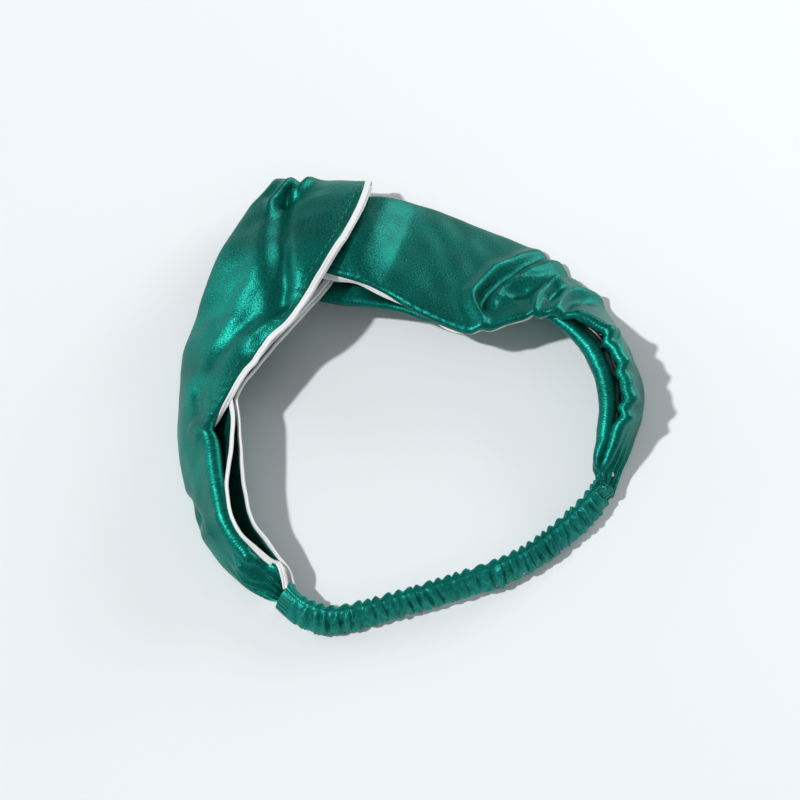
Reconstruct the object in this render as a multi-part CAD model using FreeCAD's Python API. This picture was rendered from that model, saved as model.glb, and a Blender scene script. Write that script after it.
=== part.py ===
import FreeCAD
import Part
import math
import os

V = FreeCAD.Vector

# ---------------------------------------------------------------- driving dimensions, mm
SATIN_THICK = 1.8  # one folded satin strip, two plies and the air between them
END_THICK = 1.1  # a strip's gathered end, inside the casing
END_WIDTH = 9.4
END_REACH = 5.0  # how far the gathered ends go into the casing
END_OFFSET = 1.0  # of each gathered end from the casing's middle plane
LEVEL = 4.8  # from one layer of the knot to the next
KNOT_CENTRE = V(-5.0, 5.0, 0.0)  # the knot's layers lie on a shallow cone about this point
CONE_RADIUS = 80.0  # where the cone meets the floor
CONE_RUN = 40.0
CONE_RISE = 14.0
CONE_FOOT = 2.2
FLAT = -0.3  # a fold edge that lies on the floor dips this far, and is trimmed flat at the floor

PIPING_WIDE = 2.6  # of the flat folded piping that shows past the strip's edge
PIPING_THICK = 0.95
PIPING_GAP = 0.15  # between it and the strip's edge
PIPING_OFF = 0.95  # of each ply's piping from the strip's middle plane
PIPING_STEP = 2.4  # the least length of one straight run of piping

CASING_THICK = 5.2
CASING_WALL = 0.6
CASING_LIP = 1.2  # wall at the casing's two long edges, with the frill
ELASTIC_WIDTH = 9.0
ELASTIC_THICK = 1.0

PIPING_OUTLINE = (  # (share of its width, share of its thickness)
    (0.0, -0.4), (0.0, 0.4), (0.25, 0.5), (0.85, 0.5), (1.0, 0.2), (1.0, -0.2), (0.85, -0.5), (0.25, -0.5),
)
STRIP_OUTLINE = ((0.0, 0.55), (0.3, 1.0), (0.7, 1.0), (1.0, 0.55))  # (share across, share of thickness)

THREAD_R = 0.22
STITCH_LONG = 1.9
STITCH_GAP = 1.1
STITCH_PROUD = 0.1  # clear space under a stitch
STITCH_IN = 3.6  # from the strip's piped edge to its stitch line
ZIGZAG_PITCH = 2.4
ZIGZAG_LONG = 1.6  # of one stitch across the row
ZIGZAG_PLACE = 0.34  # share of half the casing's width, up from its middle
TACK_LONG = 5.0
TACK_ROWS = 6
TACK_SPREAD = 0.62  # share of half the casing's width
TACK_START = 0.6  # from the casing's mouth
MOUTH_STEP = 0.8  # where a gathered end enters the casing

# Stations of each loop: the fold edge and the piped edge. A height given as "L0" to "L3" is a
# layer of the knot, counted from the lowest; any other height is in mm above the floor.
LEFT_LOOP = [
    ((-74.5, -66.6, 2.0), (-67.6, -63.0, 11.3)),
    ((-79.8, -59.0, FLAT), (-73.0, -56.4, 14.0)),
    ((-86.6, -43.4, FLAT), (-79.2, -41.6, 17.5)),
    ((-88.4, -29.5, FLAT), (-79.0, -28.0, 19.0)),
    ((-88.4, -14.3, FLAT), (-76.6, -14.0, 20.0)),
    ((-84.8, 3.2, FLAT), (-73.8, -2.2, 21.5)),
    ((-78.4, 22.0, FLAT), (-63.8, 7.9, 23.5)),
    ((-73.2, 36.4, 1.4), (-47.4, 19.9, 25.5)),
    ((-64.4, 47.6, 6.5), (-31.6, 26.4, 28.5)),
    ((-51.0, 63.2, "L3"), (-11.6, 42.6, "L3")),
    ((-31.8, 81.6, "L3"), (1.4, 55.6, "L3")),
    ((-21.5, 88.6, "L3"), (12.2, 70.0, "L3")),
    ((-17.6, 92.2, "L2.5"), (16.2, 77.4, "L2.5")),
    ((-17.0, 92.8, "L2"), (17.0, 78.8, "L2")),
    ((-17.6, 92.2, "L1.5"), (15.8, 77.2, "L1.5")),
    ((-19.0, 87.0, "L1"), (10.8, 69.0, "L1")),
    ((-27.6, 72.4, "L1"), (-9.8, 42.8, "L1")),
    ((-41.4, 56.8, "L1"), (-23.4, 33.2, "L1")),
    ((-59.4, 44.6, 2.6), (-36.0, 25.0, 21.0)),
    ((-69.2, 32.4, FLAT), (-49.6, 16.4, 20.5)),
    ((-74.6, 19.0, FLAT), (-61.4, 7.0, 20.0)),
    ((-80.2, 1.0, FLAT), (-65.4, -3.4, 19.5)),
    ((-83.4, -15.0, FLAT), (-70.6, -15.6, 19.0)),
    ((-83.6, -29.5, FLAT), (-73.4, -29.0, 18.5)),
    ((-81.6, -43.0, FLAT), (-73.6, -42.6, 17.0)),
    ((-74.8, -57.2, 1.2), (-69.0, -55.6, 13.4)),
    ((-70.6, -64.8, 2.2), (-65.2, -62.0, 10.6)),
]
RIGHT_LOOP = [
    ((66.6, -66.0, 2.2), (58.6, -64.6, 12.3)),
    ((74.4, -57.4, FLAT), (64.8, -57.6, 18.5)),
    ((82.6, -46.8, FLAT), (71.6, -51.0, 22.5)),
    ((87.8, -37.0, FLAT), (75.2, -42.6, 24.0)),
    ((89.0, -25.0, FLAT), (77.4, -30.0, 25.0)),
    ((88.6, -12.3, FLAT), (76.6, -18.0, 25.5)),
    ((86.1, 3.0, FLAT), (69.0, -9.0, 26.0)),
    ((81.3, 17.0, FLAT), (57.4, -2.6, 25.5)),
    ((73.8, 31.6, FLAT), (45.0, -1.0, 25.0)),
    ((64.4, 42.0, FLAT), (32.4, -0.6, 24.5)),
    ((54.4, 51.2, 1.0), (22.6, 7.2, 24.5)),
    ((44.4, 60.6, 2.2), (13.6, 17.4, 24.5)),
    ((34.0, 67.4, 5.4), (5.6, 28.0, 24.8)),
    ((21.4, 70.4, "L2"), (-3.4, 36.0, "L2")),
    ((8.4, 74.2, "L2"), (-12.4, 41.6, "L2")),
    ((-5.0, 78.6, "L2"), (-25.0, 46.6, "L2")),
    ((-18.6, 82.0, "L2"), (-36.6, 57.4, "L2")),
    ((-24.0, 84.0, "L1.5"), (-41.6, 61.8, "L1.5")),
    ((-25.0, 84.4, "L1"), (-42.6, 62.6, "L1")),
    ((-24.0, 83.8, "L0.5"), (-41.4, 61.4, "L0.5")),
    ((-17.0, 79.4, "L0"), (-34.0, 54.8, "L0")),
    ((0.0, 75.0, "L0"), (-17.6, 36.6, "L0")),
    ((14.0, 70.6, "L0"), (-4.2, 29.4, 16.4)),
    ((29.4, 64.6, 1.2), (8.6, 22.4, 17.2)),
    ((41.4, 56.0, FLAT), (18.6, 13.8, 17.8)),
    ((51.0, 46.8, FLAT), (28.2, 7.2, 18.4)),
    ((61.0, 37.6, FLAT), (38.0, 3.6, 19.0)),
    ((70.0, 27.6, FLAT), (50.0, 1.4, 19.5)),
    ((76.6, 14.4, FLAT), (62.4, -2.8, 20.0)),
    ((81.0, 1.6, FLAT), (69.6, -12.6, 20.0)),
    ((83.6, -12.6, FLAT), (72.6, -20.6, 19.5)),
    ((84.2, -25.0, FLAT), (72.4, -31.0, 19.0)),
    ((82.6, -36.0, FLAT), (70.2, -41.2, 18.0)),
    ((77.6, -46.0, FLAT), (66.8, -50.0, 16.5)),
    ((70.0, -56.2, FLAT), (60.6, -57.8, 13.4)),
    ((63.4, -63.4, 2.4), (56.0, -62.4, 11.0)),
]
# Stations of the casing: its lower and its upper edge, from the left loop to the right loop.
CASING = [
    ((-71.4, -71.6, 1.7), (-64.9, -67.3, 11.4)),
    ((-66.8, -80.0, 1.0), (-61.3, -74.4, 10.8)),
    ((-58.2, -87.0, 1.0), (-54.0, -80.6, 10.8)),
    ((-45.0, -89.4, 1.2), (-43.2, -82.8, 11.0)),
    ((-27.4, -90.4, 1.8), (-27.6, -84.0, 11.4)),
    ((-10.0, -91.6, 2.4), (-10.8, -84.8, 12.0)),
    ((6.2, -92.2, 2.9), (8.0, -85.0, 12.4)),
    ((22.0, -90.4, 3.0), (21.0, -83.4, 12.4)),
    ((37.0, -85.8, 2.9), (35.2, -78.6, 12.2)),
    ((51.2, -79.6, 2.5), (47.4, -73.0, 12.0)),
    ((61.0, -72.0, 2.2), (55.4, -67.9, 11.9)),
]


# ---------------------------------------------------------------- curves and frames
def cone(point):
    """Height of the knot's lowest layer: a shallow cone that flattens at its foot and its top."""
    run = (CONE_RADIUS - math.hypot(point.x - KNOT_CENTRE.x, point.y - KNOT_CENTRE.y)) / CONE_RUN
    run = min(1.0, max(0.0, run))
    return CONE_FOOT + CONE_RISE * (0.5 * run + 0.5 * run * run * (3.0 - 2.0 * run))


def placed(x, y, height):
    """A station's point, and how far it counts as part of the knot's layers."""
    if isinstance(height, str):
        point = V(x, y, 0.0)
        point.z = cone(point) + LEVEL * float(height[1:])
        return point, 1.0
    return V(x, y, height), 0.0


def between(a, b, c, d, t):
    """Catmull-Rom curve from b to c."""
    return (b * 2 + (c - a) * t + (a * 2 - b * 5 + c * 4 - d) * t**2 + (b * 3 - a - c * 3 + d) * t**3) * 0.5


def smooth(points, steps):
    """The curve through the points, with so many steps from each point to the next."""
    ends = [points[0] * 2 - points[1]] + points + [points[-1] * 2 - points[-2]]
    out = [between(*ends[i : i + 4], k / steps) for i in range(len(points) - 1) for k in range(steps)]
    return out + [points[-1]]


def frames(lower, upper):
    """At each station: middle, direction across the strip, normal, and half the width."""
    middles = [(a + b) * 0.5 for a, b in zip(lower, upper)]
    out = []
    for i, middle in enumerate(middles):
        across = upper[i] - lower[i]
        half = across.Length / 2
        across.normalize()
        along = middles[min(i + 1, len(middles) - 1)] - middles[max(i - 1, 0)]
        normal = across.cross(along)
        normal.normalize()
        out.append((middle, across, normal, half))
    return out


def loft(sections):
    """A closed solid with flat-sided walls through closed outlines."""
    solid = Part.makeLoft([Part.makePolygon(s + [s[0]]) for s in sections], True, True)
    if solid.Volume < 0:
        solid.reverse()
    return solid


def above_floor(solid):
    """The solid with a flat underside where it meets the floor."""
    room = Part.makeBox(400, 400, 100, V(-200, -200, 0))
    return solid.common(room)


# ---------------------------------------------------------------- the loops
def casing_end(index, inward, offset):
    """Fold edge and piped edge of a gathered end inside the casing's mouth."""
    middle, across, normal, _ = CASING_FRAMES[index]
    beyond = CASING_FRAMES[1 if index == 0 else -2][0] - middle
    beyond.normalize()
    centre = middle + beyond * inward + normal * offset
    return centre - across * (END_WIDTH / 2), centre + across * (END_WIDTH / 2)


def loop(stations, mouth):
    """One strip's stations from the casing round the knot and back, as smooth edges.

    Returns the fold edge, the piped edge, how much each station belongs to the knot, and
    how much it is gathered into its end.
    """
    rows = []
    for inward in (END_REACH, MOUTH_STEP):
        rows.append((*casing_end(mouth, inward, END_OFFSET), 0.0, 1.0))
    for fold, piped in stations:
        (a, knot), (b, _) = placed(*fold), placed(*piped)
        rows.append((a, b, knot, 0.0))
    for inward in (MOUTH_STEP, END_REACH):
        rows.append((*casing_end(mouth, inward, -END_OFFSET), 0.0, 1.0))
    steps = 2
    fold = smooth([r[0] for r in rows], steps)
    piped = smooth([r[1] for r in rows], steps)
    weights = smooth([V(r[2], r[3], 0) for r in rows], steps)
    return fold, piped, [min(1, max(0, w.x)) for w in weights], [min(1, max(0, w.y)) for w in weights]


def strip(edges):
    """The satin strip as one thin solid."""
    fold, piped, knots, ends = edges
    sections = []
    for (middle, across, normal, half), knot, end in zip(frames(fold, piped), knots, ends):
        thick = SATIN_THICK + (END_THICK - SATIN_THICK) * end
        low = middle - across * half
        high = middle + across * half
        top, bottom = [], []
        for share, full in STRIP_OUTLINE:
            point = low + (high - low) * share
            bow = cone(point) - (cone(low) * (1 - share) + cone(high) * share)
            point = point + V(0, 0, bow * knot)
            top.append(point + normal * (thick / 2 * full))
            bottom.append(point - normal * (thick / 2 * full))
        sections.append(top + bottom[::-1])
    return above_floor(loft(sections))


def piping(edges, off):
    """One ply's flat piping, beside the strip's piped edge and short of the casing."""
    fold, piped, _, _ = edges
    sections = []
    for middle, across, normal, half in frames(fold, piped)[4:-4]:
        near = middle + across * (half + PIPING_GAP) + normal * off
        section = [near + across * (PIPING_WIDE * w) + normal * (PIPING_THICK * d) for w, d in PIPING_OUTLINE]
        if not sections or min((a - b).Length for a, b in zip(section, sections[-1])) > PIPING_STEP:
            sections.append(section)
    return loft(sections)


def piping_stitches(edges):
    """The stitch line on the outer ply, beside the piped edge."""
    fold, piped, knots, _ = edges
    rows = frames(fold, piped)[6 : len(knots) // 2 - 8]
    path = [m + a * (h - STITCH_IN) + n * (SATIN_THICK / 2 + THREAD_R + STITCH_PROUD) for m, a, n, h in rows]
    out = []
    travelled, wanted = 0.0, STITCH_GAP
    for start, end in zip(path, path[1:]):
        step = end - start
        length = step.Length
        while wanted + STITCH_LONG < travelled + length:
            foot = start + step * ((wanted - travelled) / length)
            out.append(Part.makeCylinder(THREAD_R, STITCH_LONG, foot, step))
            wanted += STITCH_LONG + STITCH_GAP
        travelled += length
        wanted = max(wanted, travelled + STITCH_GAP)
    return Part.makeCompound(out)


# ---------------------------------------------------------------- the casing and what is in it
def flat_section(frame, width, thick, edge):
    """A flattened eight-sided outline across the casing."""
    middle, across, normal, _ = frame
    half, deep = width / 2, thick / 2
    outline = ((half, edge), (half * 0.7, 1), (-half * 0.7, 1), (-half, edge))
    front = [middle + across * w + normal * (deep * d) for w, d in outline]
    back = [middle + across * w - normal * (deep * d) for w, d in reversed(outline)]
    return front + back


def casing():
    """The ruched casing: a flat tube, open at both ends."""
    outer = loft([flat_section(f, 2 * f[3] + 0.6, CASING_THICK, 0.6) for f in CASING_FRAMES])
    bore = [
        flat_section(f, 2 * (f[3] - CASING_LIP) + 1.4, CASING_THICK - 2 * CASING_WALL, 0.85)
        for f in CASING_FRAMES
    ]
    return above_floor(outer.cut(loft(bore)))


def elastic():
    """The flat elastic, between the two loops' gathered ends."""
    first, last = 3, len(CASING_FRAMES) - 3
    rows = CASING_FRAMES[first:last]
    return loft([flat_section(f, ELASTIC_WIDTH, ELASTIC_THICK, 1.0) for f in rows])


def zigzag():
    """Zigzag stitches on the casing's outer face, near its upper edge."""
    lift = CASING_THICK / 2 + STITCH_PROUD + THREAD_R
    line = [(m + a * (h * ZIGZAG_PLACE) + n * lift, a) for m, a, n, h in CASING_FRAMES[2:-2]]
    out = []
    for (start, across), (end, _) in zip(line, line[1:]):
        step = end - start
        count = int(step.Length / ZIGZAG_PITCH)
        for k in range(count):
            foot = start + step * ((k + 0.2) / count)
            side = across * (ZIGZAG_LONG if k % 2 else -ZIGZAG_LONG)
            slant = step * (0.5 / count)
            out.append(Part.makeCylinder(THREAD_R, ZIGZAG_LONG, foot - side * 0.5, side + slant))
    return Part.makeCompound(out)


def tack(index):
    """Rows of thread that close a casing's mouth round the loop's gathered ends."""
    middle, across, normal, half = CASING_FRAMES[index]
    beyond = CASING_FRAMES[1 if index == 0 else -2][0] - middle
    beyond.normalize()
    lift = CASING_THICK / 2 + 2 * STITCH_PROUD + THREAD_R
    out = []
    for side in (1, -1):
        for k in range(TACK_ROWS):
            place = ((k + 0.5) / TACK_ROWS * 2 - 1) * half * TACK_SPREAD
            foot = middle + across * place + normal * (side * lift) + beyond * TACK_START
            out.append(Part.makeCylinder(THREAD_R, TACK_LONG, foot, beyond))
    return Part.makeCompound(out)


CASING_LOW = smooth([V(*low) for low, _ in CASING], 2)
CASING_HIGH = smooth([V(*high) for _, high in CASING], 2)
CASING_FRAMES = frames(CASING_LOW, CASING_HIGH)


def write(name, shape):
    """Writes one part and says whether it is sound."""
    os.makedirs("parts", exist_ok=True)
    shape.exportStep("parts/" + name + ".step")
    kind = "valid" if shape.isValid() else "NOT VALID"
    print(f"{name:28s} {len(shape.Solids):3d} solids {shape.Volume:9.1f} mm3 {kind}")


def main():
    parts = {"elastic_casing": casing(), "elastic_band": elastic(), "casing_zigzag_thread": zigzag()}
    for side, stations, mouth in (("left", LEFT_LOOP, 0), ("right", RIGHT_LOOP, -1)):
        edges = loop(stations, mouth)
        parts[side + "_satin_strip"] = strip(edges)
        for ply, off in (("outer", PIPING_OFF), ("inner", -PIPING_OFF)):
            parts[f"{side}_{ply}_piping"] = piping(edges, off)
        parts[side + "_piping_stitches"] = piping_stitches(edges)
        parts[side + "_bar_tack"] = tack(mouth)
    for name, shape in parts.items():
        write(name, shape)


main()
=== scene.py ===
"""A knotted satin headband: two piped strips looped through each other, and a ruched elastic casing."""
import math

import bpy
import numpy as np
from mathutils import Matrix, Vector


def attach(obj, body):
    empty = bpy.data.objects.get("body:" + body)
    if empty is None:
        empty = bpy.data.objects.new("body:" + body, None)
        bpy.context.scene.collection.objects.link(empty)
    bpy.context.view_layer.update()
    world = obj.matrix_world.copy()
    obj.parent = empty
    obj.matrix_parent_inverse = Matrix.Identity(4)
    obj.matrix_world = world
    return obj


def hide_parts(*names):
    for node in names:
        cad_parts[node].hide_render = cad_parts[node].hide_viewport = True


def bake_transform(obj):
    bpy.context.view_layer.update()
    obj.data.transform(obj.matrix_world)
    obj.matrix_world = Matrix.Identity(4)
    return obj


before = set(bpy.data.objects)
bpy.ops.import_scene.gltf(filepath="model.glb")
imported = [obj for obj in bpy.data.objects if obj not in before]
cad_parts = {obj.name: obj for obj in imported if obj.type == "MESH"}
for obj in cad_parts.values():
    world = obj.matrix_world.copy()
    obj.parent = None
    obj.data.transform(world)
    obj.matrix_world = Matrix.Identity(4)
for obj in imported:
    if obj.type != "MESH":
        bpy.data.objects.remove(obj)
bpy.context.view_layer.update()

MM = 0.001
SEED = 7

# ---------------------------------------------------------------- sizes, mm
LEVEL = 4.8  # from one layer of the knot to the next
CONE_CENTRE = (-5.0, 5.0)  # the knot's layers lie on a shallow cone
CONE_RADIUS = 80.0
CONE_RUN = 40.0
CONE_RISE = 14.0
CONE_FOOT = 2.2

PLY_THICK = 0.3
PLY_GAP = 1.3  # between the two plies of a strip, at its edges
ROLL_R = 1.25  # of a piped edge that rolls under
FLAT_ROLL = 0.72  # share of that radius where the edge lies flatter, about the knot
FULL_ROLL = 4.0  # tuck at which an edge has rolled half round; what is tucked past it lies flat
KNOT_NEAR, KNOT_FULL = 60.0, 100.0  # from a strip's ends, where its edge starts to flatten and is flat
EDGE_ROUND = 2.2  # how far from the fold edge the two plies part
INNER_LAG = 0.12  # share of a fold's depth by which the inner ply follows it less
FLOOR_GAP = 0.05  # least gap under the cloth
STRIP_STEP = 0.92  # mesh step along a strip
PLY_COLUMNS = 52  # mesh columns across one ply

# (outwards from the strip's edge, up from its middle): a folded edge with a stitch groove.
PIPING_OUTLINE = (
    (-0.3, 0.30), (0.20, 0.46), (0.60, 0.46), (0.78, 0.24), (0.96, 0.48), (1.35, 0.52), (1.75, 0.40),
    (2.02, 0.10), (1.98, -0.22), (1.65, -0.42), (1.10, -0.46), (0.50, -0.44), (-0.3, -0.30),
)
THREAD_R = 0.17
STITCH_IN = 3.0  # from the piped edge to the stitch line
STITCH_PITCH = 3.8
STITCH_LONG = 2.2
STITCH_DIP = 0.35
DIP_WIDE = 0.9
PLEATS = 5  # lengthwise pleats in a gathered end
PLEAT_DEEP = 0.75
PLEAT_RUN = 34.0  # how far the pleats run out of the casing
CROWN_PEAK = 2.88  # makes the crown's highest place one, three eighths across from the fold edge
RIPPLE = 0.16  # of the satin's slight unevenness

CASING_DEEP = 2.3  # half thickness of the ruched tube
FRILL_DEEP = 0.55  # half thickness of the frill above the zigzag
FRILL_LINE = 0.72  # where the zigzag runs, as a share of half the casing's width
RUFFLE_PITCH = 3.9
RUFFLE_DEEP = 2.0
RUFFLE_SETS = ((0.70, 0.25), (0.35, -0.5), (0.20, 0.9))  # weight and slant of each set of ruffles
RUFFLE_MEAN = 0.75  # taken off their sum, so that they go in as well as out
SCALLOP = 1.3
SMOOTH_END = 9.0  # of the casing beside the left loop
PINCH_WIDE = 0.10  # of the line the zigzag pinches, as a share of half the casing's width
ELASTIC_SHORT = 15.0  # how far short of the casing's ends the elastic is sewn in
CASING_STEP = 0.4
CASING_COLUMNS = 72
ELASTIC_WIDE = 9.0
ELASTIC_DEEP = 1.0

# Stations of each loop, from inside the casing round the knot and back: the fold edge, the piped edge
# ("L" heights count the knot's layers), how far the piped edge is tucked under (or over, where it is
# negative), how far the two plies' piped edges stand apart, and the crown of the outer ply.
LEFT_LOOP = [
    ((-69.4, -75.2, 2.8), (-65.8, -71.9, 7.8), 0.0, 0.9, 0.2),
    ((-70.2, -70.6, 2.6), (-66.5, -67.8, 8.2), 0.0, 0.7, 0.4),
    ((-74.5, -66.6, 1.2), (-67.6, -63.0, 11.6), 1.0, 2.0, 1.0),
    ((-80.2, -58.6, 0.4), (-74.6, -57.0, 13.6), 5.0, 2.4, 1.8),
    ((-86.6, -43.4, 0.4), (-80.2, -41.8, 17.2), 9.0, 2.4, 2.0),
    ((-88.4, -29.5, 0.4), (-79.6, -28.0, 19.0), 12.0, 2.4, 2.0),
    ((-88.4, -14.3, 0.4), (-77.0, -14.0, 20.0), 10.0, 2.4, 2.2),
    ((-84.8, 3.2, 0.4), (-73.8, -1.4, 21.0), 4.0, 1.1, 3.6),
    ((-78.4, 22.0, 0.4), (-63.8, 7.9, 23.2), 2.2, 1.1, 4.4),
    ((-73.2, 36.4, 0.8), (-47.4, 19.9, 25.2), 1.0, 1.1, 5.0),
    ((-64.4, 47.6, 6.5), (-31.6, 26.4, 28.5), 0.4, 1.1, 4.4),
    ((-51.0, 63.2, "L3"), (-11.6, 42.6, "L3"), 0.0, 1.1, 3.4),
    ((-31.8, 81.6, "L3"), (1.4, 55.6, "L3"), 0.0, 1.1, 2.6),
    ((-21.5, 88.6, "L3"), (12.2, 70.0, "L3"), 0.0, 2.4, 1.2),
    ((-17.6, 92.2, "L2.5"), (16.2, 77.4, "L2.5"), 0.0, 2.4, 0.6),
    ((-17.0, 92.8, "L2"), (17.0, 78.8, "L2"), 0.0, 2.4, 0.5),
    ((-17.6, 92.2, "L1.5"), (15.8, 77.2, "L1.5"), 0.0, 2.4, 0.4),
    ((-19.0, 87.0, "L1"), (10.8, 69.0, "L1"), 0.0, 2.4, 0.3),
    ((-27.6, 72.4, "L1"), (-9.8, 42.8, "L1"), 0.0, 2.4, 0.3),
    ((-41.4, 56.8, "L1"), (-23.4, 33.2, "L1"), 0.0, 2.4, 0.3),
    ((-59.4, 44.6, 2.6), (-36.0, 25.0, 21.0), 0.0, 2.4, 0.4),
    ((-69.2, 32.4, 0.6), (-49.6, 16.4, 20.5), 0.0, 2.4, 0.6),
    ((-74.6, 19.0, 0.4), (-61.4, 7.0, 20.0), 0.0, 2.4, 0.8),
    ((-80.2, 1.0, 0.4), (-64.0, -3.0, 20.0), 0.0, 2.6, 1.0),
    ((-83.4, -15.0, 0.4), (-68.2, -15.4, 19.5), 0.0, 4.5, 1.0),
    ((-83.6, -29.5, 0.4), (-72.8, -29.0, 18.5), 0.0, 7.5, 1.0),
    ((-81.6, -43.0, 0.4), (-73.6, -42.6, 17.0), 0.0, 7.5, 1.0),
    ((-74.8, -57.2, 1.0), (-69.0, -55.6, 13.8), 0.0, 5.0, 0.8),
    ((-70.6, -64.8, 2.2), (-65.2, -62.4, 11.0), 0.0, 2.4, 0.5),
    ((-68.2, -70.0, 3.0), (-65.6, -68.4, 8.0), 0.0, 0.7, 0.3),
    ((-67.8, -74.8, 2.8), (-64.9, -72.2, 7.6), 0.0, 0.7, 0.2),
]
RIGHT_LOOP = [
    ((60.2, -73.8, 3.4), (56.2, -71.4, 8.6), 5.0, 0.9, 0.2),
    ((63.6, -69.6, 3.0), (59.4, -68.1, 9.1), 5.0, 1.0, 0.4),
    ((66.6, -66.0, 1.6), (60.4, -64.6, 12.0), 5.0, 1.6, 1.0),
    ((74.4, -57.4, 0.6), (67.0, -57.6, 17.0), 6.0, 1.8, 1.2),
    ((82.6, -46.8, 0.4), (74.4, -50.0, 20.5), 8.0, 1.8, 1.4),
    ((87.8, -37.0, 0.4), (78.4, -41.4, 22.0), 10.0, 1.8, 1.4),
    ((89.0, -25.0, 0.4), (80.4, -28.8, 23.0), 10.0, 1.8, 1.4),
    ((88.6, -12.3, 0.4), (79.0, -16.8, 23.8), 9.0, 1.8, 1.6),
    ((86.1, 3.0, 0.4), (70.6, -7.6, 25.0), 7.0, 1.0, 2.2),
    ((81.3, 17.0, 0.4), (57.4, -2.6, 25.5), 4.6, 1.0, 3.0),
    ((73.8, 31.6, 0.4), (45.0, -1.0, 25.0), 4.4, 1.0, 3.2),
    ((64.4, 42.0, 0.5), (32.4, -0.6, 24.5), 4.4, 1.0, 3.0),
    ((54.4, 51.2, 1.0), (22.6, 7.2, 24.5), 4.6, 1.0, 3.0),
    ((44.4, 60.6, 2.2), (13.6, 17.4, 24.5), 4.6, 1.0, 2.8),
    ((34.0, 67.4, 5.4), (5.6, 28.0, 24.8), 3.6, 1.0, 2.2),
    ((21.4, 70.4, "L2"), (-3.4, 36.0, "L2"), 3.6, 1.0, 1.2),
    ((8.4, 74.2, "L2"), (-12.4, 41.6, "L2"), 1.5, 1.0, 0.5),
    ((-5.0, 78.6, "L2"), (-25.0, 46.6, "L2"), 0.0, 2.4, 0.3),
    ((-18.6, 82.0, "L2"), (-36.6, 57.4, "L2"), 0.0, 2.4, 0.3),
    ((-24.0, 84.0, "L1.5"), (-41.6, 61.8, "L1.5"), 0.0, 2.4, 0.3),
    ((-25.0, 84.4, "L1"), (-42.6, 62.6, "L1"), 0.0, 2.4, 0.3),
    ((-24.0, 83.8, "L0.5"), (-41.4, 61.4, "L0.5"), 0.0, 2.4, 0.3),
    ((-17.0, 79.4, "L0"), (-34.0, 54.8, "L0"), -2.0, 1.0, 0.3),
    ((0.0, 75.0, "L0"), (-17.6, 36.6, "L0"), -6.0, 1.0, 0.3),
    ((14.0, 70.6, "L0"), (-4.2, 29.4, 16.4), -6.0, 1.0, 0.3),
    ((29.4, 64.6, 1.2), (8.6, 22.4, 17.2), -6.0, 1.0, 0.4),
    ((41.4, 56.0, 0.6), (18.6, 13.8, 17.8), -5.0, 1.0, 0.5),
    ((51.0, 46.8, 0.4), (28.2, 7.2, 18.4), -3.0, 1.0, 0.6),
    ((61.0, 37.6, 0.4), (38.0, 3.6, 19.0), -1.0, 2.4, 0.6),
    ((70.0, 27.6, 0.4), (50.0, 1.4, 19.5), 1.0, 2.4, 0.6),
    ((76.6, 14.4, 0.4), (61.8, -3.4, 19.5), 5.0, 2.4, 0.8),
    ((81.0, 1.6, 0.4), (67.4, -13.2, 19.5), 11.0, 2.4, 1.4),
    ((82.6, -12.6, 0.4), (70.2, -20.8, 19.0), 13.0, 2.4, 2.0),
    ((82.8, -25.0, 0.4), (71.0, -30.6, 18.5), 13.0, 2.4, 2.0),
    ((81.0, -36.0, 0.4), (69.0, -40.4, 17.5), 13.0, 2.4, 2.0),
    ((76.4, -46.0, 0.4), (65.6, -49.0, 16.0), 13.0, 2.4, 1.8),
    ((69.4, -56.0, 0.6), (60.4, -57.0, 13.2), 7.5, 2.4, 1.2),
    ((63.4, -63.4, 2.4), (57.2, -62.6, 10.4), 6.0, 2.0, 0.5),
    ((60.4, -67.6, 3.2), (57.4, -66.6, 8.8), 5.0, 1.0, 0.3),
    ((58.0, -72.0, 3.6), (55.0, -69.9, 8.6), 5.0, 0.9, 0.2),
]

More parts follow.
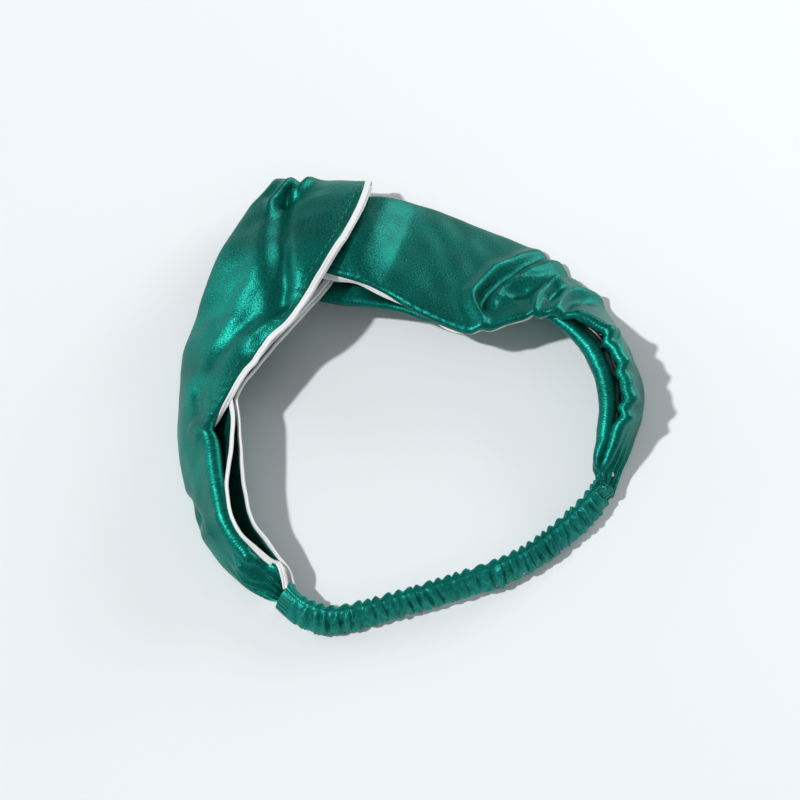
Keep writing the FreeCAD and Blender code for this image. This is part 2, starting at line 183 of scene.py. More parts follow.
# Folds of each strip's outer ply: height (a valley is negative), width, and the line it follows as
# (station, share of the way from the fold edge to the piped edge).
RIGHT_FOLDS = [
    (3.2, 2.9, ((9.9, 0.02), (10.3, 0.20), (10.6, 0.31), (11.1, 0.42), (11.3, 0.56), (11.5, 0.69),
                (11.4, 0.76), (11.1, 0.84), (10.9, 0.89), (10.8, 1.0))),
    (-3.5, 2.9, ((9.8, 0.02), (10.2, 0.27), (10.6, 0.44), (11.0, 0.58), (11.1, 0.69), (10.9, 0.82))),
    (2.2, 2.4, ((9.5, 0.02), (10.0, 0.31), (10.3, 0.47), (10.7, 0.53))),
    (-1.3, 1.3, ((9.1, 0.02), (9.3, 0.20), (9.7, 0.38), (10.4, 0.51))),
    (2.6, 2.0, ((9.0, 0.31), (9.4, 0.46), (9.8, 0.50), (10.3, 0.56), (10.6, 0.62), (10.8, 0.71),
                (10.6, 0.82))),
    (-2.3, 2.9, ((10.3, 0.69), (10.0, 0.64), (9.6, 0.62))),
    (1.3, 1.1, ((10.7, 0.71), (10.5, 0.69), (10.3, 0.71), (10.0, 0.78))),
    (2.5, 2.0, ((9.0, 0.33), (9.3, 0.56), (9.4, 0.71), (9.3, 0.84), (9.1, 1.0))),
    (-2.3, 2.1, ((9.0, 0.45), (9.0, 0.58), (9.0, 0.72))),
    (2.3, 2.0, ((8.0, 0.02), (8.4, 0.27), (8.6, 0.38), (8.7, 0.56), (8.6, 0.80), (8.7, 0.92))),
    (-2.2, 2.4, ((8.0, 0.29), (8.4, 0.56), (8.4, 0.78), (8.3, 0.90))),
    (1.4, 2.2, ((7.4, 0.92), (7.9, 0.87), (7.9, 0.80))),
    (-1.7, 2.2, ((6.6, 0.80), (6.5, 0.60))),
    (1.4, 2.2, ((6.9, 0.80), (6.8, 0.50))),
    (1.3, 2.2, ((5.8, 0.85), (5.7, 0.50))),
    (-1.3, 2.2, ((5.5, 0.85), (5.6, 0.45))),
    (1.3, 2.4, ((4.6, 0.85), (4.5, 0.50))),
    (-1.2, 2.4, ((4.1, 0.80), (4.2, 0.40))),
    (1.3, 2.4, ((3.8, 0.85), (3.8, 0.45))),
]
LEFT_FOLDS = [
    (-3.8, 3.7, ((12.8, 0.27), (11.9, 0.38), (11.3, 0.53), (10.9, 0.64), (10.5, 0.76), (10.3, 0.80),
                 (10.0, 0.89))),
    (1.4, 5.0, ((12.5, 0.18), (11.8, 0.29), (11.2, 0.42), (10.6, 0.49), (10.2, 0.47), (9.5, 0.58))),
    (2.2, 1.5, ((14.6, 0.22), (13.8, 0.20), (13.0, 0.18), (12.3, 0.20), (11.9, 0.27))),
    (-3.5, 2.0, ((14.6, 0.31), (14.0, 0.29), (13.2, 0.24), (12.8, 0.25), (12.2, 0.29))),
    (2.3, 2.2, ((14.6, 0.42), (14.0, 0.40), (13.2, 0.36), (12.8, 0.33), (12.5, 0.31))),
    (1.4, 7.7, ((12.9, 0.53), (12.0, 0.73), (11.3, 0.91), (10.5, 0.93))),
    (1.6, 2.9, ((10.1, 0.98), (9.8, 0.89), (9.3, 0.87), (8.9, 0.98))),
    (-1.4, 2.9, ((9.3, 0.96), (9.0, 1.0), (8.5, 1.0))),
    (-1.3, 3.3, ((10.1, 0.67), (9.6, 0.64), (8.9, 0.62), (8.3, 0.62))),
    (-1.7, 3.3, ((8.0, 0.73), (7.9, 0.53), (7.1, 0.78))),
    (1.3, 3.3, ((7.1, 0.56), (6.7, 0.80), (6.6, 0.82))),
    (1.3, 3.3, ((4.7, 0.38), (4.3, 0.38), (4.5, 0.02))),
    (-1.7, 2.4, ((5.6, 0.02), (5.2, 0.10), (4.7, 0.20))),
    (2.0, 2.6, ((3.3, 0.75), (3.2, 0.49), (2.6, 0.40))),
    (-1.7, 2.0, ((3.0, 0.95), (2.8, 0.75), (2.2, 0.60))),
]

# The casing's lower and upper edge, from the left loop to the right loop.
CASING = [
    ((-71.4, -71.6, 1.7), (-64.9, -67.3, 11.4)),
    ((-66.8, -80.0, 1.0), (-61.3, -74.4, 10.8)),
    ((-58.2, -87.0, 1.0), (-54.0, -80.6, 10.8)),
    ((-45.0, -89.4, 1.2), (-43.2, -82.8, 11.0)),
    ((-27.4, -90.4, 1.8), (-27.6, -84.0, 11.4)),
    ((-10.0, -91.6, 2.4), (-10.8, -84.8, 12.0)),
    ((6.2, -92.2, 2.9), (8.0, -85.0, 12.4)),
    ((22.0, -90.4, 3.0), (21.0, -83.4, 12.4)),
    ((37.0, -85.8, 2.9), (35.2, -78.6, 12.2)),
    ((51.2, -79.6, 2.5), (47.4, -73.0, 12.0)),
    ((61.0, -72.0, 2.2), (55.4, -67.9, 11.9)),
]


# ---------------------------------------------------------------- curves
def cone(x, y):
    """Height of the knot's lowest layer over the floor."""
    run = (CONE_RADIUS - np.hypot(x - CONE_CENTRE[0], y - CONE_CENTRE[1])) / CONE_RUN
    run = np.clip(run, 0.0, 1.0)
    return CONE_FOOT + CONE_RISE * (0.5 * run + 0.5 * run * run * (3.0 - 2.0 * run))


def placed(x, y, height):
    """A station's point, and 1 where it belongs to the knot's layers."""
    if isinstance(height, str):
        return [x, y, float(cone(x, y)) + LEVEL * float(height[1:]), 1.0]
    return [x, y, height, 0.0]


def catmull(rows, at):
    """The smooth curve through the rows, read at fractional row numbers."""
    rows = np.vstack([2 * rows[0] - rows[1], rows, 2 * rows[-1] - rows[-2]])
    k = np.clip(np.floor(at).astype(int), 0, len(rows) - 4)
    t = (at - k)[:, None]
    a, b, c, d = rows[k], rows[k + 1], rows[k + 2], rows[k + 3]
    return 0.5 * (2 * b + (c - a) * t + (2 * a - 5 * b + 4 * c - d) * t**2 + (3 * b - a - 3 * c + d) * t**3)


def unit(v):
    return v / np.maximum(np.linalg.norm(v, axis=-1, keepdims=True), 1e-12)


def smoothstep(low, high, x):
    t = np.clip((x - low) / (high - low), 0.0, 1.0)
    return t * t * (3 - 2 * t)


def evenly(rows, step):
    """Fractional row numbers at even steps of length along the middle line, and those lengths."""
    fine = np.linspace(0, len(rows) - 1, 40 * len(rows))
    line = catmull(rows, fine)
    middle = (line[:, 0:3] + line[:, 3:6]) / 2
    run = np.concatenate([[0], np.cumsum(np.linalg.norm(np.diff(middle, axis=0), axis=1))])
    count = max(8, int(run[-1] / step))
    length = np.linspace(0, run[-1], count + 1)
    return np.interp(length, run, fine), length


# ---------------------------------------------------------------- a strip as a surface
def ripples(x, y, rng, count=9):
    """A smooth, slight, seeded unevenness over cloth coordinates in mm."""
    total = 0.0
    for _ in range(count):
        long = rng.uniform(9.0, 26.0)
        lean = rng.uniform(0.0, math.pi)
        wave = (x * math.cos(lean) + y * math.sin(lean)) * 2 * math.pi / long
        total = total + np.sin(wave + rng.uniform(0, 7))
    return total / math.sqrt(count)


class Strip:
    """One satin strip: two plies joined at the fold edge. Its surface is read at (station, share)."""

    def __init__(self, table, folds, side, seed):
        rows = []
        for fold, piped, tuck, mouth, crown in table:
            a, b = placed(*fold), placed(*piped)
            rows.append(a[:3] + b[:3] + [a[3], tuck, mouth, crown])
        self.rows = np.array(rows, float)
        self.folds = folds
        self.side = side
        self.seed = seed
        self.at, self.length = evenly(self.rows, STRIP_STEP)
        self.share = np.linspace(0, 1, PLY_COLUMNS)[None, :]

    def fold_heights(self, y, total):
        """How far the folds lift the outer ply, where y is the way in mm from the fold edge."""
        x = np.broadcast_to(self.length[:, None], y.shape)
        lift = np.zeros_like(y)
        for height, width, line in self.folds:
            station = np.array([p[0] for p in line])
            px = np.interp(station, self.at, self.length)
            py = np.array([p[1] for p in line]) * np.interp(station, self.at, total)
            run = np.concatenate([[0], np.cumsum(np.hypot(np.diff(px), np.diff(py)))])
            near = np.full(y.shape, 1e9)
            place = np.zeros(y.shape)
            for k in range(len(line) - 1):
                ex, ey = px[k + 1] - px[k], py[k + 1] - py[k]
                t = np.clip(((x - px[k]) * ex + (y - py[k]) * ey) / (ex * ex + ey * ey), 0, 1)
                away = np.hypot(x - px[k] - t * ex, y - py[k] - t * ey)
                closer = away < near
                near = np.where(closer, away, near)
                place = np.where(closer, run[k] + t * (run[k + 1] - run[k]), place)
            fade = min(run[-1] * 0.35, 7.0)
            start = 1.0 if line[0][1] < 0.05 else 0.25
            ends = np.clip(start + place / fade, 0, 1) * np.clip(0.25 + (run[-1] - place) / fade, 0, 1)
            lift += height * ends * np.exp(-((near / width) ** 2))
        return lift

    def pleats(self, turn):
        """Lengthwise pleats that run out of both gathered ends."""
        left = np.minimum(self.length, self.length[-1] - self.length)[:, None]
        strength = 1 - smoothstep(4.0, PLEAT_RUN, left)
        wander = 0.8 * np.sin(left / 9.0 + turn)
        return PLEAT_DEEP * strength * np.cos(2 * math.pi * PLEATS * self.share + wander + turn)

    def rolled(self, width, tuck):
        """How far each point lies across the strip and up from it, and its normal in the same two ways."""
        over = np.where(tuck < 0, -1.0, 1.0)[:, None]
        tuck = np.abs(tuck)
        turn = math.pi * np.clip(tuck / FULL_ROLL, 0, 1)
        left = np.minimum(self.length, self.length[-1] - self.length)
        radius = ROLL_R * (1 - (1 - FLAT_ROLL) * smoothstep(KNOT_NEAR, KNOT_FULL, left))
        roll = turn * radius
        radius = radius[:, None]
        self.total = width + roll + np.clip(tuck - FULL_ROLL, 0, None)
        self.run = self.share * self.total[:, None]
        self.flat = np.minimum(self.run, width[:, None])
        angle = np.clip((self.run - width[:, None]) / radius, 0, turn[:, None])
        beyond = np.clip(self.run - (width + roll)[:, None], 0, None)
        sideways = self.flat + radius * np.sin(angle) + beyond * np.cos(angle)
        upwards = -over * (radius * (1 - np.cos(angle)) + beyond * np.sin(angle))
        return sideways, upwards, over * np.sin(angle), np.cos(angle)

    def stitch_dents(self):
        """How deep each stitch pulls the outer ply in."""
        along = np.cos(math.pi * self.length / STITCH_PITCH)[:, None] ** 8
        return STITCH_DIP * along * np.exp(-(((self.total[:, None] - self.run - STITCH_IN) / DIP_WIDE) ** 2))

    def lifts(self, mouth, crown):
        """How far the outer and the inner ply stand off the strip's middle, and what the folds add."""
        rng = np.random.default_rng(self.seed)
        edge = np.sqrt(np.clip(1 - (1 - np.clip(self.run / EDGE_ROUND, 0, 1)) ** 2, 0, 1))
        apart = PLY_GAP + (mouth[:, None] - PLY_GAP) * smoothstep(0.45, 1.0, self.share)
        crowned = crown[:, None] * CROWN_PEAK * self.share**0.6 * (1 - self.share)
        uneven = RIPPLE * ripples(self.length[:, None], self.run, rng)
        fold = self.fold_heights(self.flat, self.total) + uneven
        outer_up = edge * (apart / 2 + self.pleats(0.0)) + crowned - self.stitch_dents()
        inner_up = edge * (apart / 2 + self.pleats(2.2)) + 0.25 * crowned
        return outer_up, inner_up, fold

    def sections(self):
        """Points of the outer and of the inner ply, each (stations, columns, 3), and the ply normals."""
        line = catmull(self.rows, self.at)
        low, high = line[:, 0:3], line[:, 3:6]
        knot = np.clip(line[:, 6], 0, 1)[:, None]
        along = unit(np.gradient((low + high) / 2, axis=0))
        across = unit(high - low)
        normal = unit(np.cross(across, along)) * self.side
        sideways, upwards, lean, stand = self.rolled(np.linalg.norm(high - low, axis=1), line[:, 7])

        point = low[:, None] + across[:, None] * sideways[..., None] + normal[:, None] * upwards[..., None]
        ply_normal = across[:, None] * lean[..., None] + normal[:, None] * stand[..., None]
        low_foot, high_foot = cone(low[:, 0], low[:, 1])[:, None], cone(high[:, 0], high[:, 1])[:, None]
        chord = low_foot * (1 - self.share) + high_foot * self.share
        point[..., 2] += (cone(point[..., 0], point[..., 1]) - chord) * knot

        outer_up, inner_up, fold = self.lifts(np.clip(line[:, 8], 0.6, None), np.clip(line[:, 9], 0.1, None))
        behind = fold * (1 - INNER_LAG * smoothstep(0.0, 0.25, self.share))
        outer = point + ply_normal * outer_up[..., None] + normal[:, None] * fold[..., None]
        inner = point - ply_normal * inner_up[..., None] + normal[:, None] * behind[..., None]
        for ply in (outer, inner):
            ply[..., 2] = np.maximum(ply[..., 2], PLY_THICK + FLOOR_GAP)
        self.outer, self.ply_normal = outer, ply_normal
        return outer, inner, ply_normal, self.run

    def surface(self):
        """Both plies as one grid, from the outer ply's piped edge over the fold to the inner one's."""
        outer, inner, normal, run = self.sections()
        self.grid = np.concatenate([outer[:, ::-1], inner[:, 1:]], axis=1)
        self.normals = np.concatenate([normal[:, ::-1], -normal[:, 1:]], axis=1)
        self.across_mm = np.concatenate([-run[:, ::-1], run[:, 1:]], axis=1)
        return self.grid


# ---------------------------------------------------------------- mesh makers
def mesh_object(name, points, faces, uv):
    """A smooth mesh object at the origin from points in mm, with cloth coordinates in mm."""
    mesh = bpy.data.meshes.new(name)
    mesh.from_pydata((np.asarray(points) * MM).tolist(), [], [tuple(int(i) for i in f) for f in faces])
    layer = mesh.uv_layers.new(name="UVMap")
    loops = np.zeros(len(mesh.loops), int)
    mesh.loops.foreach_get("vertex_index", loops)
    layer.data.foreach_set("uv", (np.asarray(uv)[loops] * MM).ravel())
    mesh.polygons.foreach_set("use_smooth", [True] * len(mesh.polygons))
    mesh.update()
    piece = bpy.data.objects.new(name, mesh)
    bpy.context.scene.collection.objects.link(piece)
    return piece


def grid_faces(rows, columns, wrap=False):
    """Quads of a grid; wrap closes it across its columns."""
    i, j = np.meshgrid(np.arange(rows - 1), np.arange(columns if wrap else columns - 1), indexing="ij")
    k = (j + 1) % columns
    a, b = i * columns + j, i * columns + k
    c, d = (i + 1) * columns + k, (i + 1) * columns + j
    return np.stack([a, b, c, d], axis=-1).reshape(-1, 4)


def solid_sheet(piece, thick):
    """Gives a sheet its thickness, towards its back."""
    bpy.ops.object.select_all(action="DESELECT")
    bpy.context.view_layer.objects.active = piece
    piece.select_set(True)
    wall = piece.modifiers.new("thickness", "SOLIDIFY")
    wall.thickness = thick * MM
    wall.offset = -1.0
    bpy.ops.object.modifier_apply(modifier=wall.name)


def tube(name, path, radius, sides=6):
    """A closed round thread along a dense list of points, mm. radius is a number or one per point."""
    path = np.asarray(path, float)
    along = unit(np.gradient(path, axis=0))
    side = np.zeros_like(path)
    side[0] = unit(np.cross(along[0], [0.0, 0.0, 1.0]))
    for i in range(1, len(path)):
        side[i] = unit(side[i - 1] - along[i] * side[i - 1].dot(along[i]))
    up = np.cross(side, along)
    turn = np.linspace(0, 2 * math.pi, sides, endpoint=False)
    radius = np.broadcast_to(radius, len(path))[:, None, None]
    ring = side[:, None] * np.cos(turn)[None, :, None] + up[:, None] * np.sin(turn)[None, :, None]
    points = (path[:, None] + ring * radius).reshape(-1, 3)
    faces = grid_faces(len(path), sides, wrap=True)[:, ::-1].tolist()
    run = np.concatenate([[0], np.cumsum(np.linalg.norm(np.diff(path, axis=0), axis=1))])
    uv = np.stack(np.broadcast_arrays(run[:, None], turn[None, :] * 1.0), axis=-1).reshape(-1, 2)
    faces.append(list(range(sides)))
    faces.append(list(range((len(path) - 1) * sides, len(path) * sides))[::-1])
    return mesh_object(name, points, faces, uv)


# ---------------------------------------------------------------- materials
class Value:
    """A node socket that does arithmetic."""

    def __init__(self, sheet, socket):
        self.sheet, self.socket = sheet, socket

    def _math(self, operation, *values):
        return self.sheet.node("ShaderNodeMath", {"operation": operation}, dict(enumerate(values)))

    def __add__(self, other):
        return self._math("ADD", self, other)

    def __mul__(self, other):
        return self._math("MULTIPLY", self, other)

    def __sub__(self, other):
        return self._math("SUBTRACT", self, other)

    def __rsub__(self, other):
        return self._math("SUBTRACT", other, self)

    __radd__ = __add__
    __rmul__ = __mul__

    def clipped(self):
        return self._math("MINIMUM", self._math("MAXIMUM", self, 0.0), 1.0)


class Sheet:
    """The node tree of one material."""

    def __init__(self, name):
        self.material = bpy.data.materials.new(name)
        self.material.use_nodes = True
        self.tree = self.material.node_tree
        self.tree.nodes.clear()

    def node(self, kind, settings=None, sockets=None, out=0):
        """Adds a node: its settings first, then values or links for its sockets."""
        made = self.tree.nodes.new(kind)
        for key, value in (settings or {}).items():
            setattr(made, key, value)
        for key, value in (sockets or {}).items():
            if isinstance(value, Value):
                self.tree.links.new(value.socket, made.inputs[key])
            else:
                made.inputs[key].default_value = value
        if len(made.outputs):
            return Value(self, made.outputs[out])

    def ramp(self, factor, *stops):
        """A colour ramp through (place, colour) stops."""
        made = self.tree.nodes.new("ShaderNodeValToRGB")
        for _ in range(len(stops) - 2):
            made.color_ramp.elements.new(0.5)
        for element, (place, colour) in zip(made.color_ramp.elements, stops):
            element.position = place
            element.color = (*colour, 1.0)
        self.tree.links.new(factor.socket, made.inputs[0])
        return Value(self, made.outputs[0])

    def noise(self, where, scale, stretch=(1, 1, 1), detail=2.0):
        """Noise over a place, with so many features to the metre."""
        placed_at = self.node("ShaderNodeMapping", None, {"Vector": where, "Scale": stretch})
        return self.node("ShaderNodeTexNoise", None, {"Vector": placed_at, "Scale": scale, "Detail": detail})

    def finish(self, colour, roughness, bump=None, distance=0.0001, strength=1.0, **constants):
        """The shader and the output. Constants are set on the shader's own sockets."""
        sockets = {"Base Color": colour, "Roughness": roughness}
        if bump is not None:
            heights = {"Height": bump, "Distance": distance, "Strength": strength}
            sockets["Normal"] = self.node("ShaderNodeBump", None, heights)
        sockets.update({key.replace("_", " "): value for key, value in constants.items()})
        shader = self.node("ShaderNodeBsdfPrincipled", None, sockets)
        self.node("ShaderNodeOutputMaterial", None, {"Surface": shader})
        return self.material


def satin(name, dark, light, metallic=0.8):
    """Polyester satin: floats across the strip, a fine sparkle, and slow changes of tone."""
    m = Sheet(name)
    uv = m.node("ShaderNodeUVMap", {"uv_map": "UVMap"})
    floats = m.noise(uv, 1000.0, (0.35, 4.0, 1.0), 2.0)
    grain = m.noise(uv, 1500.0, (1.0, 1.0, 1.0), 1.0)
    cloud = m.noise(uv, 45.0)
    tone = m.ramp((cloud * 0.4 + grain * 0.6).clipped(), (0.35, dark), (0.65, light))
    rough = (grain - 0.5) * 0.3 + 0.40
    height = floats * 0.3 + grain * 0.7
    return m.finish(tone, rough, height, 0.00022, 1.0, Metallic=metallic, Specular_IOR_Level=0.25)


def white_satin(name):
    """White satin piping, with a fine weave."""
    m = Sheet(name)
    uv = m.node("ShaderNodeUVMap", {"uv_map": "UVMap"})
    grain = m.noise(uv, 2600.0, (1.0, 1.0, 1.0), 1.0)
    tone = m.ramp(grain, (0.3, (0.86, 0.86, 0.86)), (0.7, (0.95, 0.95, 0.95)))
    return m.finish(tone, 0.45, grain, 0.00008, 0.4, Sheen_Weight=0.2)


def thread(name, colour, light):
    """Twisted sewing thread."""
    m = Sheet(name)
    uv = m.node("ShaderNodeUVMap", {"uv_map": "UVMap"})
    slant = {"bands_direction": "DIAGONAL"}
    twist = m.node("ShaderNodeTexWave", slant, {"Vector": uv, "Scale": 1500.0}, out=1)
    return m.finish(m.ramp(twist, (0.2, colour), (0.8, light)), 0.45, twist, 0.00005, 0.5)


def woven_elastic(name):
    """White elastic tape with ribs along it."""
    m = Sheet(name)
    uv = m.node("ShaderNodeUVMap", {"uv_map": "UVMap"})
    ribs = m.node("ShaderNodeTexWave", {"bands_direction": "Y"}, {"Vector": uv, "Scale": 500.0}, out=1)
    tone = m.ramp(ribs, (0.1, (0.62, 0.62, 0.60)), (0.9, (0.82, 0.82, 0.80)))
    return m.finish(tone, 0.7, ribs, 0.0002, 0.6)


def floor_paint():
    return Sheet("studio_floor").finish((0.91, 0.94, 0.965, 1.0), 0.9)


def give(piece, material):
    piece.data.materials.clear()
    piece.data.materials.append(material)


# ---------------------------------------------------------------- pieces
def satin_strip(name, strip, material):
    """The cloth of one strip, with its thickness."""
    grid = strip.surface()
    uv = np.stack(np.broadcast_arrays(strip.length[:, None], strip.across_mm), axis=-1)
    faces = grid_faces(*grid.shape[:2])
    if strip.side > 0:
        faces = faces[:, ::-1]
    piece = mesh_object(name, grid.reshape(-1, 3), faces, uv.reshape(-1, 2))
    solid_sheet(piece, PLY_THICK)
    give(piece, material)
    return piece


def swept(name, path, out, up, outline, material):
    """A closed band: an outline of (out, up) offsets carried along a path, mm."""
    outline = np.array(outline, float)
    points = path[:, None] + out[:, None] * outline[None, :, :1] + up[:, None] * outline[None, :, 1:]
    count = len(outline)
    faces = grid_faces(len(path), count, wrap=True).tolist()
    faces.append(list(range(count))[::-1])
    faces.append(list(range((len(path) - 1) * count, len(path) * count)))
    run = np.concatenate([[0], np.cumsum(np.linalg.norm(np.diff(path, axis=0), axis=1))])
    rim = np.concatenate([[0], np.cumsum(np.linalg.norm(np.diff(outline, axis=0), axis=1))])
    uv = np.stack(np.broadcast_arrays(run[:, None], rim[None, :]), axis=-1).reshape(-1, 2)
    piece = mesh_object(name, points.reshape(-1, 3), faces, uv)
    outwards(piece)
    give(piece, material)
    return piece, run[-1]


def outwards(piece):
    """Turns a closed mesh's faces outwards."""
    bpy.ops.object.select_all(action="DESELECT")
    bpy.context.view_layer.objects.active = piece
    piece.select_set(True)
    bpy.ops.object.mode_set(mode="EDIT")
    bpy.ops.mesh.select_all(action="SELECT")
    bpy.ops.mesh.normals_make_consistent(inside=False)
    bpy.ops.object.mode_set(mode="OBJECT")


def piping(name, strip, outer, material):
    """One ply's folded piping, along its piped edge and into the casing."""
    column, inward = (0, 2) if outer else (-1, -3)
    path = strip.grid[5:-5, column]
    along = unit(np.gradient(path, axis=0))
    out = strip.grid[5:-5, column] - strip.grid[5:-5, inward]
    out = unit(out - along * np.sum(out * along, axis=1, keepdims=True))
    up = np.cross(out, along)
    up = up * np.sign(np.sum(up * strip.normals[5:-5, column], axis=1, keepdims=True))
    return swept(name, path, out, up, PIPING_OUTLINE, material)


def joined(name, pieces, material):
    """Several small meshes as one piece."""
    bpy.ops.object.select_all(action="DESELECT")
    for piece in pieces:
        piece.select_set(True)
    bpy.context.view_layer.objects.active = pieces[0]
    bpy.ops.object.join()
    pieces[0].name = name
    give(pieces[0], material)
    return pieces[0]


def piping_stitches(name, strip, material):
    """Short threads in the dents beside the piped edge, where that edge lies in the open."""
    column = np.argmin(np.abs(strip.total[:, None] - strip.run - STITCH_IN), axis=1)
    rows = np.arange(len(column))
    line = strip.outer[rows, column] + strip.ply_normal[rows, column] * (THREAD_R * 0.6)
    open_edge = np.abs(np.interp(strip.at, np.arange(len(strip.rows)), strip.rows[:, 7])) < 3.0
    first_run = strip.at < len(strip.rows) * 0.55
    made = []
    for k in range(2, int(strip.length[-1] / STITCH_PITCH)):
        ends = np.array([-0.5, -0.25, 0.0, 0.25, 0.5]) * STITCH_LONG + k * STITCH_PITCH
        middle = int(np.searchsorted(strip.length, k * STITCH_PITCH))
        if open_edge[middle] and first_run[middle]:
            path = np.stack([np.interp(ends, strip.length, line[:, axis]) for axis in range(3)], axis=1)
            made.append(tube(f"stitch_{k}", path, THREAD_R * np.array([0.5, 1, 1, 1, 0.5])))
    return joined(name, made, material)


# ---------------------------------------------------------------- the casing and what is in it
class Casing:
    """The ruched casing as a grid of (rows along it, columns round it)."""

    def __init__(self, seed):
        rows = np.array([list(a) + list(b) for a, b in CASING], float)
        at, self.length = evenly(rows, CASING_STEP)
        line = catmull(rows, at)
        low, high = line[:, :3], line[:, 3:]
        self.middle = (low + high) / 2
        self.along = unit(np.gradient(self.middle, axis=0))
        self.across = unit(high - low)
        self.normal = unit(np.cross(self.across, self.along))
        self.half = np.linalg.norm(high - low, axis=1) / 2
        self.rng = np.random.default_rng(seed)
        self.build()

    def ruffles(self):
        """Phase, in turns, and strength of one set of irregular ruffles along the casing."""
        widths = RUFFLE_PITCH * self.rng.uniform(0.5, 1.5, 80)
        edges = np.concatenate([[0], np.cumsum(widths)])
        phase = np.interp(self.length, edges, np.arange(len(edges)))
        strength = np.interp(phase, np.arange(81), self.rng.uniform(0.45, 1.25, 81))
        return phase[:, None], strength[:, None]

    def profile(self, w):
        """Half thickness at each place across, and how much of it is frill and how much pinched line."""
        reach = (1 + FRILL_LINE) / 2
        body = CASING_DEEP * np.clip(1 - ((w + 1 - reach) / reach) ** 2, 0, 1) ** 0.4
        rim = np.clip((1 - np.abs(w)) / 0.06, 0, 1) ** 0.5
        frill = smoothstep(FRILL_LINE, FRILL_LINE + 0.15, w)
        pinch = np.exp(-(((w - FRILL_LINE) / PINCH_WIDE) ** 2))
        return np.maximum(body, FRILL_DEEP * rim), frill, pinch

    def gathers(self, w, face):
        """Three sets of irregular ruffles of different weight and slant, laid over each other."""
        total = 0.0
        for weight, slant in RUFFLE_SETS:
            phase, strength = self.ruffles()
            wave = np.cos(2 * math.pi * (phase + slant * w + 0.15 * face))
            total = total + weight * strength * (1 - (0.5 - 0.5 * wave) ** 3)
        return total - RUFFLE_MEAN

    def loose(self):
        """How freely the cloth ruffles: not at all beside the left loop, and less beside the right one."""
        free = smoothstep(SMOOTH_END - 4, SMOOTH_END + 3, self.length)[:, None]
        return free * (1 - 0.6 * smoothstep(self.length[-1] - 4, self.length[-1], self.length)[:, None])

    def bulk(self):
        """How much thicker the casing is where the gathered ends are inside it."""
        bulk = 1 + 0.40 * (1 - smoothstep(0, SMOOTH_END, self.length))[:, None]
        return bulk + 0.25 * smoothstep(self.length[-1] - 9, self.length[-1], self.length)[:, None]

    def build(self):
        """The tube's points: its ruffles lift both faces, and its two edges are scalloped."""
        self.turn = np.linspace(0, 2 * math.pi, CASING_COLUMNS, endpoint=False)[None, :]
        w = np.cos(self.turn)
        face = np.sign(np.sin(self.turn) + 1e-9)
        deep, frill, pinch = self.profile(w)
        free = self.loose()
        gathers = self.gathers(w, face)
        main, strength = self.ruffles()
        sway = np.cos(2 * math.pi * (main + 0.12 * w)) * strength
        inside = (1 - frill) * (1 - 0.85 * pinch) * np.clip(deep / CASING_DEEP, 0, 1)
        lift = RUFFLE_DEEP * gathers * inside
        side = 0.6 * sway * frill * (0.4 + 0.6 * smoothstep(FRILL_LINE, 1.0, w))
        edge_low = SCALLOP * gathers * smoothstep(-0.5, -1.0, w)
        edge_high = 0.35 * np.cos(2 * math.pi * main + 1.0) * smoothstep(0.8, 1.0, w)

        up = w * self.half[:, None] - free * edge_low + free * edge_high
        out = face * (deep * self.bulk() + free * lift) + free * side
        drift = 0.35 * free * np.sin(2 * math.pi * (main + 0.3 * w))
        self.grid = (self.middle[:, None] + self.across[:, None] * up[..., None]
                     + self.normal[:, None] * out[..., None] + self.along[:, None] * drift[..., None])
        self.grid[..., 2] = np.maximum(self.grid[..., 2], PLY_THICK)

    def cloth(self, name, material):
        uv = np.stack(np.broadcast_arrays(self.length[:, None] * 1.6, self.turn * 5.0), axis=-1)
        faces = grid_faces(*self.grid.shape[:2], wrap=True)
        piece = mesh_object(name, self.grid.reshape(-1, 3), faces, uv.reshape(-1, 2))
        outwards(piece)
        solid_sheet(piece, PLY_THICK)
        give(piece, material)
        return piece

    def column(self, share, outer_face=True):
        """The column whose place across the casing is this share of half its width."""
        index = round(math.acos(share) / (2 * math.pi) * CASING_COLUMNS)
        return index if outer_face else CASING_COLUMNS - index

    def zigzag(self, name, material):
        """One thread that zigzags over the pinched line, on the outer face."""
        low, high = self.column(FRILL_LINE - 0.07), self.column(FRILL_LINE + 0.09)
        rows = np.arange(int(SMOOTH_END / CASING_STEP), len(self.length) - 6, 2)
        path = []
        for k, row in enumerate(rows):
            foot = self.grid[row, low if k % 2 else high]
            path.append(foot + self.normal[row] * THREAD_R * 1.2)
        thread_piece = tube(name, path, THREAD_R)
        give(thread_piece, material)
        return thread_piece

    def tack(self, name, right_end, material):
        """Threads that close the casing's mouth round the gathered ends."""
        rows = np.arange(1, 13)
        if right_end:
            rows = len(self.length) - 1 - rows
        made = []
        for face in (True, False):
            for k, share in enumerate((-0.62, -0.37, -0.12, 0.12, 0.37, 0.62)):
                line = self.grid[rows, self.column(share, face)]
                push = self.normal[rows] * (1 if face else -1) * THREAD_R
                made.append(tube(f"tack_{face}_{k}", line + push, THREAD_R))
        return joined(name, made, material)

    def elastic(self, name, material):
        """The flat elastic inside, sewn in short of both gathered ends."""
        short = int(ELASTIC_SHORT / CASING_STEP)
        rows = slice(short, -short)
        half, deep = ELASTIC_WIDE / 2, ELASTIC_DEEP / 2
        outline = ((half - 0.4, deep), (half, 0.15), (half, -0.15), (half - 0.4, -deep),
                   (0.4 - half, -deep), (-half, -0.15), (-half, 0.15), (0.4 - half, deep))
        lowered = self.middle[rows] - self.across[rows] * 1.0
        return swept(name, lowered, self.across[rows], self.normal[rows], outline, material)


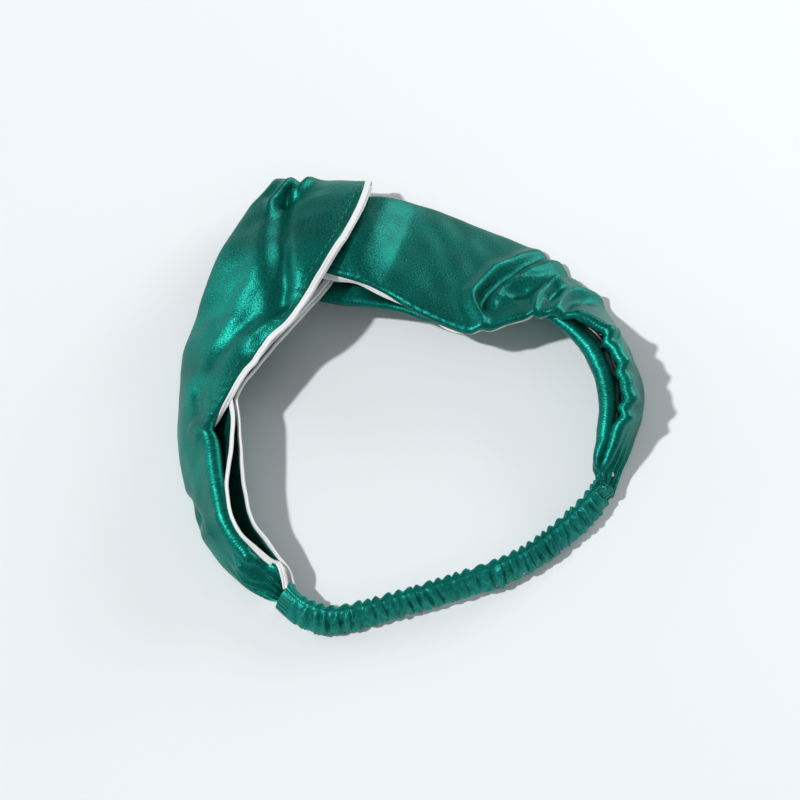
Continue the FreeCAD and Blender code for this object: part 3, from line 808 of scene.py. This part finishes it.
# ---------------------------------------------------------------- studio
LOOK = math.radians(20.0)
AWAY = np.array([math.sin(LOOK), math.cos(LOOK), 0.0])
RIGHTWARD = np.array([math.cos(LOOK), -math.sin(LOOK), 0.0])
UPWARD = np.array([0.0, 0.0, 1.0])
CAMERA_PITCH = math.radians(66.0)  # below level
CAMERA_AWAY = 760.0  # from what it looks at, mm
CAMERA_TARGET = np.array([-2.4, -13.0, 12.0])  # mm
CAMERA_LENS = 90.6  # mm, on a sensor 36 mm wide


def aimed(thing, direction):
    """Turns a camera or a lamp to look along a direction."""
    thing.rotation_euler = Vector(direction).to_track_quat("-Z", "Y").to_euler()


def added(name, data):
    thing = bpy.data.objects.new(name, data)
    bpy.context.scene.collection.objects.link(thing)
    return thing


def sun(name, strength, soft, rightward, away, pitch):
    """Sunlight that travels so far rightward and away for the camera, at a pitch below level."""
    data = bpy.data.lights.new(name, "SUN")
    data.energy = strength
    data.angle = math.radians(soft)
    level = RIGHTWARD * rightward + AWAY * away
    level = level / np.linalg.norm(level)
    pitch = math.radians(pitch)
    aimed(added(name, data), level * math.cos(pitch) - UPWARD * math.sin(pitch))


def softbox(name, radiance, wide, high, place):
    """A wide soft panel that looks at the middle of the floor. place is in m."""
    data = bpy.data.lights.new(name, "AREA")
    data.shape = "RECTANGLE"
    data.size, data.size_y = wide, high
    data.energy = radiance * math.pi * wide * high
    lamp = added(name, data)
    lamp.location = Vector(place)
    aimed(lamp, -place)


def camera():
    forward = AWAY * math.cos(CAMERA_PITCH) - UPWARD * math.sin(CAMERA_PITCH)
    data = bpy.data.cameras.new("camera")
    data.lens = CAMERA_LENS
    data.sensor_width = 36.0
    data.clip_start = 0.01
    eye = added("camera", data)
    eye.location = Vector((CAMERA_TARGET - forward * CAMERA_AWAY) * MM)
    aimed(eye, forward)
    bpy.context.scene.camera = eye


def studio():
    camera()
    bpy.ops.mesh.primitive_plane_add(size=6.0)
    floor = bpy.context.active_object
    floor.name = "studio_floor"
    give(floor, floor_paint())

    world = bpy.data.worlds.new("studio")
    world.use_nodes = True
    sky = world.node_tree.nodes["Background"].inputs
    sky["Color"].default_value = (0.95, 0.98, 1.0, 1.0)
    sky["Strength"].default_value = 0.29
    bpy.context.scene.world = world
    sun("key", 2.25, 3.0, 0.98, 0.2, 52.0)
    softbox("right_panel", 7.0, 0.7, 0.5, RIGHTWARD * 1.0 + AWAY * 0.85 + UPWARD * 0.42)
    softbox("left_panel", 2.0, 0.9, 0.4, AWAY * 0.45 - RIGHTWARD * 1.2 + UPWARD * 0.24)
    bpy.context.scene.view_settings.view_transform = "Standard"


def declared(piece, slot, *nodes):
    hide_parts(*nodes)


def loop(side, table, folds, sign, seed, satin_cloth, white, green_thread):
    """One strip with its pipings and its stitches."""
    strip = Strip(table, folds, sign, seed)
    cloth = satin_strip(side + "_strip_cloth", strip, satin_cloth)
    declared(cloth, "satin", side + "_satin_strip")
    made = [cloth]
    for ply in ("outer", "inner"):
        pipe, run = piping(f"{side}_{ply}_piping_cloth", strip, ply == "outer", white)
        declared(pipe, "piping", f"{side}_{ply}_piping")
        made.append(pipe)
    sewn = piping_stitches(side + "_stitches", strip, green_thread)
    declared(sewn, "thread", side + "_piping_stitches")
    return made + [sewn]


def build():
    emerald = satin("emerald_satin", (0.001, 0.100, 0.080), (0.004, 0.24, 0.19))
    duller = satin("casing_satin", (0.003, 0.17, 0.135), (0.010, 0.30, 0.245), 0.7)
    white = white_satin("white_piping")
    green_thread = thread("emerald_thread", (0.01, 0.16, 0.12), (0.04, 0.34, 0.27))
    pale_thread = thread("casing_thread", (0.05, 0.36, 0.29), (0.16, 0.56, 0.47))

    for piece in loop("left", LEFT_LOOP, LEFT_FOLDS, 1, SEED, emerald, white, green_thread):
        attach(piece, "left_loop")
    for piece in loop("right", RIGHT_LOOP, RIGHT_FOLDS, -1, SEED + 1, emerald, white, green_thread):
        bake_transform(piece)

    casing = Casing(SEED)
    cloth = casing.cloth("ruched_casing", duller)
    declared(cloth, "casing_satin", "elastic_casing")
    zigzag = casing.zigzag("zigzag_thread", pale_thread)
    declared(zigzag, "thread", "casing_zigzag_thread")
    tape, run = casing.elastic("elastic_tape", woven_elastic("elastic_tape"))
    declared(tape, "elastic", "elastic_band")
    for piece in (cloth, zigzag, tape):
        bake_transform(piece)
    for side in ("left", "right"):
        tack = casing.tack(side + "_tack", side == "right", green_thread)
        declared(tack, "thread", side + "_bar_tack")
        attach(tack, side + "_loop")


studio()
build()
